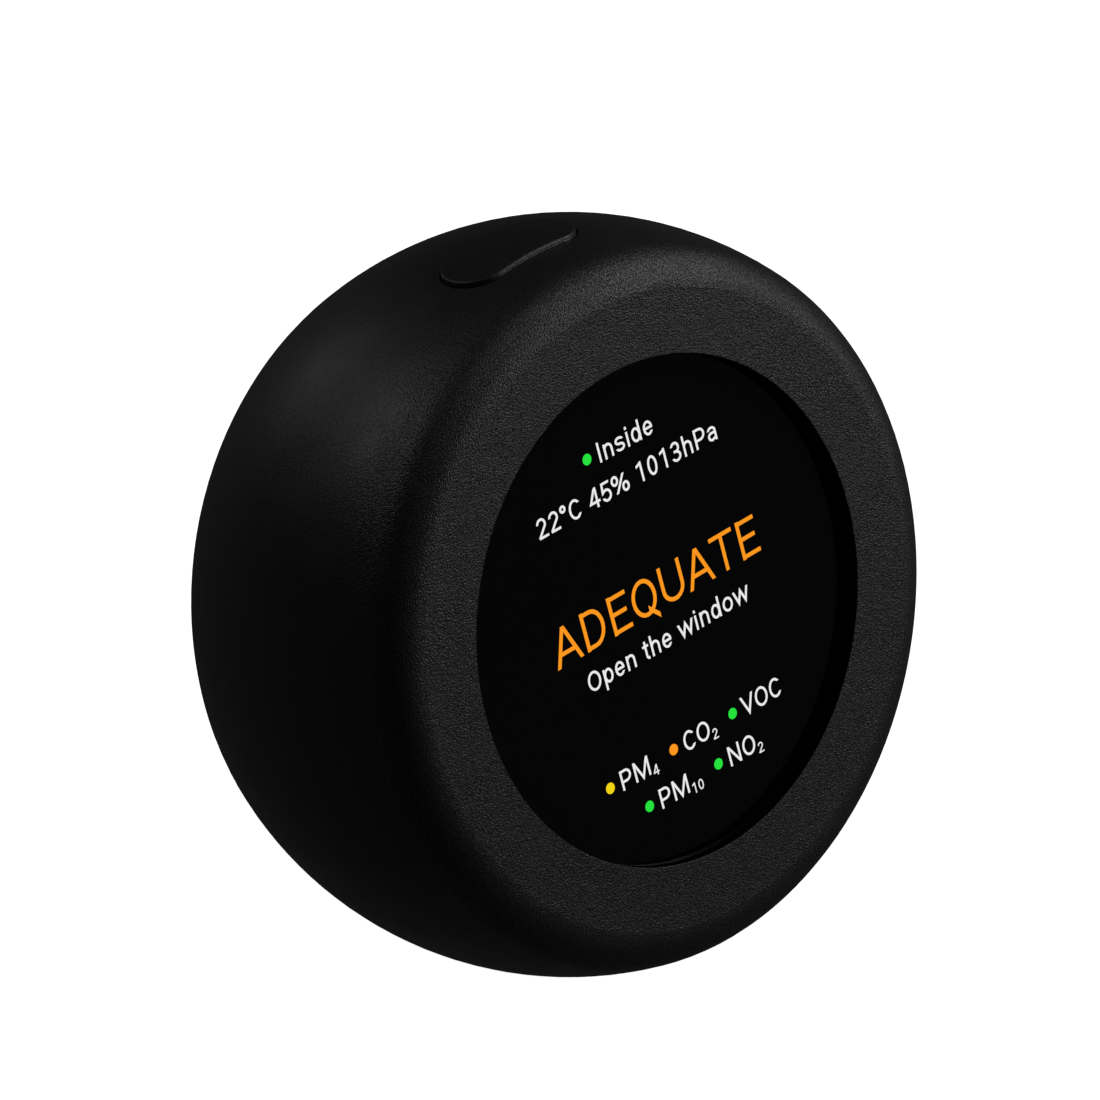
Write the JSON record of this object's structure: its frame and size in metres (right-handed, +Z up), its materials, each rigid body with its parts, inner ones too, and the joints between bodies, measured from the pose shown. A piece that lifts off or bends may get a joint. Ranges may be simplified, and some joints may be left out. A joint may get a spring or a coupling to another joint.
{
  "type": "air quality monitor",
  "caption": "Round black desk air quality monitor with a leaning round display, a press button on top, a vented rear cover and a USB-C inlet.",
  "frame": {"origin": "centre of the bounding box's underside, where the rubber foot meets the desk", "axes": "+Z up, -Y towards the reader of the display, which leans back 20 degrees; +X is the reader's right"},
  "size_m": [0.08, 0.059, 0.0782],
  "materials": {
    "shell_plastic": "black moulded ABS with a fine spark-eroded grain",
    "button_plastic": "black moulded ABS with a fine grain",
    "black_glass": "gloss black bonded cover glass",
    "adhesive": "black double-sided film",
    "lcd_cell": "display cell",
    "tray_metal": "pressed backlight tray",
    "foam": "closed cell foam",
    "frame_plastic": "glass-filled nylon",
    "screw_steel": "black zinc plated steel",
    "insert_brass": "knurled brass",
    "flex_film": "polyimide flexible circuit",
    "board_green": "glass-epoxy board with solder mask",
    "shield_can": "tinned shield can",
    "chip_black": "moulded chip packages",
    "connector_ivory": "nylon header",
    "module_plastic": "dark moulded module case",
    "fan_plastic": "black fan plastic",
    "copper": "enamelled copper winding",
    "magnet": "bonded ferrite",
    "shaft_steel": "ground steel",
    "usb_steel": "drawn stainless shell",
    "rubber": "matt silicone rubber",
    "lead_black": "PVC sleeved lead"
  },
  "bodies": {
    "housing": {"main_housing": "shell_plastic", "rear_cover": "shell_plastic", "cover_screws": "screw_steel", "cover_inserts": "insert_brass", "rubber_foot": "rubber", "glass_adhesive": "adhesive", "cover_glass": "black_glass", "lcd_panel": "lcd_cell", "backlight_tray": "tray_metal", "retainer_cushion": "foam", "display_retainer": "frame_plastic", "retainer_screws": "screw_steel", "display_flex": "flex_film", "main_board": "board_green", "board_screws": "screw_steel", "radio_module": "shield_can", "board_chips": "chip_black", "pressure_sensor": "shield_can", "flex_connector": "connector_ivory", "lead_headers": "connector_ivory", "switch_body": "chip_black", "sensor_case": "module_plastic", "sensor_lid": "module_plastic", "sensor_board": "board_green", "co2_sensor": "shield_can", "gas_sensors": "shield_can", "optics_block": "module_plastic", "laser_diode": "insert_brass", "fan_frame": "fan_plastic", "fan_bearing": "insert_brass", "fan_stator": "copper", "air_seal": "foam", "sensor_cradle": "frame_plastic", "cradle_screws": "screw_steel", "usb_board": "board_green", "usb_shell": "usb_steel", "usb_tongue": "chip_black", "usb_screws": "screw_steel", "usb_header": "connector_ivory", "sensor_lead": "lead_black", "power_lead": "lead_black"},
    "button": {"button_cap": "button_plastic", "switch_plunger": "connector_ivory"},
    "fan": {"fan_rotor": "fan_plastic", "fan_magnet": "magnet", "fan_shaft": "shaft_steel"}
  },
  "joints": [
    {"name": "button_press", "type": "slide", "parent": "housing", "child": "button", "axis": [0, -0.342, -0.9397], "range_m": [0, 0.0003], "stiffness_N_per_m": 4000},
    {"name": "fan_spin", "type": "hinge", "parent": "housing", "child": "fan", "pos_m": [0.014, 0.01043, 0.03328], "axis": [0, 0.9397, -0.342], "continuous": true}
  ]
}
